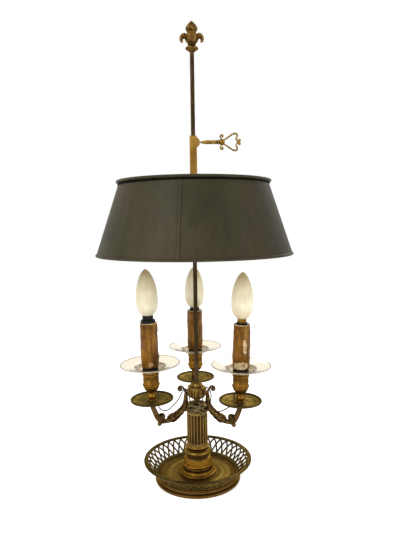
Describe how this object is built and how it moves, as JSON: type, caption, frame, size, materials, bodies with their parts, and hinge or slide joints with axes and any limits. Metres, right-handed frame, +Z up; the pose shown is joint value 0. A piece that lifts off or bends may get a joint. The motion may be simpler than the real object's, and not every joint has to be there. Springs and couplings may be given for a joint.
{
  "type": "bouillotte lamp",
  "caption": "Candle-arm table lamp with pierced dished base, fluted column, scrolled arms, glass drip discs and a height-adjustable conical metal shade on a square rod with locking key and finial.",
  "frame": {"origin": "middle of the base's foot ring, on the surface that the lamp stands on", "axes": "+Z up along the rod, +X to the picture's right along the locking key, -Y towards the viewer"},
  "size_m": [0.322, 0.322, 0.7605],
  "materials": {
    "brass": "aged, satin",
    "bright_brass": "aged, half polished",
    "olive_brass": "tarnished, satin",
    "bronze": "dark patina, satin",
    "dark_rod": "dark bronzed, worn",
    "dark_steel": "dull",
    "shade_paint": "dark olive brown, satin",
    "clear_glass": "clear, polished",
    "frosted_glass": "frosted, cream",
    "wax": "amber, dripped wax look",
    "bakelite": "black",
    "ceramic": null,
    "insulation": "dull dark grey"
  },
  "bodies": {
    "stand": {"base_plinth": "brass", "gallery": "brass", "gallery_rim": "brass", "base_washer": "dark_steel", "base_nut": "dark_steel", "column_foot": "bright_brass", "column_shaft": "brass", "column_collar": "brass", "wire_junction": "ceramic", "dome_nut": "olive_brass", "leaf_vase": "bright_brass", "rod_cap": "brass", "rod": "dark_rod", "finial": "brass", "arm_left": "bronze", "arm_screw_left": "dark_steel", "drip_pan_left": "olive_brass", "candle_cup_left": "bright_brass", "glass_disc_left": "clear_glass", "lamp_holder_left": "bakelite", "candle_sleeve_left": "wax", "bulb_cap_left": "bright_brass", "bulb_glass_left": "frosted_glass", "arm_right": "bronze", "arm_screw_right": "dark_steel", "drip_pan_right": "olive_brass", "candle_cup_right": "bright_brass", "glass_disc_right": "clear_glass", "lamp_holder_right": "bakelite", "candle_sleeve_right": "wax", "bulb_cap_right": "bright_brass", "bulb_glass_right": "frosted_glass", "arm_back": "bronze", "arm_screw_back": "dark_steel", "drip_pan_back": "olive_brass", "candle_cup_back": "bright_brass", "glass_disc_back": "clear_glass", "lamp_holder_back": "bakelite", "candle_sleeve_back": "wax", "bulb_cap_back": "bright_brass", "bulb_glass_back": "frosted_glass", "feeder_wire_left": "insulation", "feeder_wire_right": "insulation", "feeder_wire_back": "insulation"},
    "carrier": {"shade_shell": "shade_paint", "guide_sleeve": "bright_brass", "shade_spider": "brass"},
    "screw": {"key_screw": "dark_steel"},
    "key": {"key_bow": "bright_brass"}
  },
  "joints": [
    {"name": "shade_slide", "type": "slide", "parent": "stand", "child": "carrier", "axis": [0, 0, 1], "range_m": [-0.235, 0.13]},
    {"name": "key_travel", "type": "slide", "parent": "carrier", "child": "screw", "axis": [1, 0, 0], "range_m": [0, 0.0018]},
    {"name": "key_turn", "type": "hinge", "parent": "screw", "child": "key", "pos_m": [0.011, 0, 0.5713], "axis": [1, 0, 0], "range_deg": [0, 810]}
  ],
  "couplings": [
    {"joint": "key_turn", "follows": "key_travel", "rad_per_m": 7850}
  ]
}
